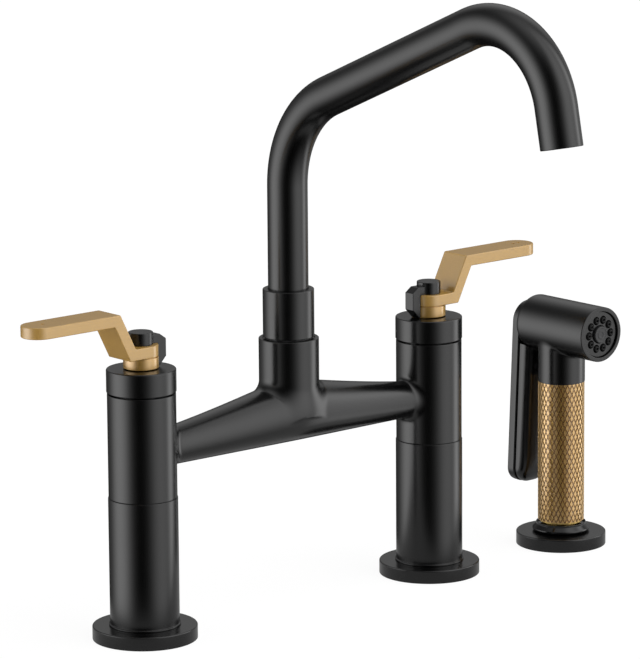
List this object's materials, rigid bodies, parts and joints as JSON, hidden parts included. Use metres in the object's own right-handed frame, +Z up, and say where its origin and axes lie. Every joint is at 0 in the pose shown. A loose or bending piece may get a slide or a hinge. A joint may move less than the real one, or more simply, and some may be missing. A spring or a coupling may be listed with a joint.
{
  "type": "bridge kitchen faucet",
  "caption": "Deck-mounted bridge kitchen faucet: tapered bridge between upright bodies, tall angled swivel spout, strap levers and a side sprayer with a squeeze trigger.",
  "frame": {"origin": "on the deck plane, midway between the axes of the two bodies", "axes": "+Z up from the deck, +X along the row of bodies towards the side sprayer, -Y towards the user and the spout outlet"},
  "size_m": [0.4046, 0.2542, 0.4026],
  "materials": {
    "satin_black": "satin black powder coat",
    "satin_brass": "brushed champagne brass",
    "gloss_black": "polished black",
    "rubber": "matt black",
    "black_plastic": "fine matt",
    "raw_brass": "machined, uncoated",
    "steel": "zinc plated"
  },
  "bodies": {
    "base": {"bridge_casting": "satin_black", "hot_flange": "satin_black", "hot_flange_gasket": "rubber", "hot_sleeve": "satin_black", "hot_shank": "raw_brass", "hot_deck_washer": "steel", "hot_deck_nut": "raw_brass", "hot_cartridge": "raw_brass", "hot_bonnet_nut": "raw_brass", "hot_cap": "satin_black", "cold_flange": "satin_black", "cold_flange_gasket": "rubber", "cold_sleeve": "satin_black", "cold_shank": "raw_brass", "cold_deck_washer": "steel", "cold_deck_nut": "raw_brass", "cold_cartridge": "raw_brass", "cold_bonnet_nut": "raw_brass", "cold_cap": "satin_black", "spout_bushing": "black_plastic", "diverter": "black_plastic", "sprayer_base": "satin_black", "sprayer_base_gasket": "rubber", "sprayer_holder": "gloss_black", "sprayer_deck_washer": "steel", "sprayer_deck_nut": "black_plastic"},
    "spout": {"spout_tube": "satin_black", "spout_collar": "satin_black", "aerator_housing": "satin_black", "aerator_insert": "black_plastic"},
    "hot_handle": {"hot_stem": "raw_brass", "hot_hub": "satin_brass", "hot_lever": "satin_brass", "hot_pin_cap": "satin_black", "hot_retainer": "satin_black"},
    "cold_handle": {"cold_stem": "raw_brass", "cold_hub": "satin_brass", "cold_lever": "satin_brass", "cold_pin_cap": "satin_black", "cold_retainer": "satin_black"},
    "hose_end": {"hose_nipple": "raw_brass"},
    "wand": {"wand_core": "raw_brass", "wand_grip": "satin_brass", "wand_head": "satin_black", "spray_plate": "satin_black", "nozzle_pad": "rubber", "spray_button": "black_plastic", "trigger_pin": "steel"},
    "trigger": {"trigger_plate": "satin_black", "trigger_bar": "satin_black"},
    "plunger": {"valve_plunger": "steel"}
  },
  "joints": [
    {"name": "spout_swivel", "type": "hinge", "parent": "base", "child": "spout", "pos_m": [0, 0, 0.1492], "axis": [0, 0, 1], "range_deg": [-90, 90]},
    {"name": "hot_turn", "type": "hinge", "parent": "base", "child": "hot_handle", "pos_m": [-0.1016, 0, 0.1465], "axis": [0, 0, 1], "range_deg": [0, 90]},
    {"name": "cold_turn", "type": "hinge", "parent": "base", "child": "cold_handle", "pos_m": [0.1016, 0, 0.1465], "axis": [0, 0, 1], "range_deg": [-90, 0]},
    {"name": "hose_lift", "type": "slide", "parent": "base", "child": "hose_end", "axis": [0, 0, 1], "range_m": [0, 0.028]},
    {"name": "wand_turn", "type": "hinge", "parent": "hose_end", "child": "wand", "pos_m": [0.2015, -0.002, 0.0132], "axis": [0, 0, 1], "continuous": true},
    {"name": "trigger_squeeze", "type": "hinge", "parent": "wand", "child": "trigger", "pos_m": [0.2015, 0.018, 0.1176], "axis": [-1, 0, 0], "range_deg": [0, 4.8], "stiffness_Nm_per_rad": 2, "springref_deg": -2.86},
    {"name": "plunger_push", "type": "slide", "parent": "wand", "child": "plunger", "axis": [0, -1, 0], "range_m": [0, 0.0016]}
  ],
  "couplings": [
    {"joint": "plunger_push", "follows": "trigger_squeeze", "m_per_rad": 0.017}
  ]
}
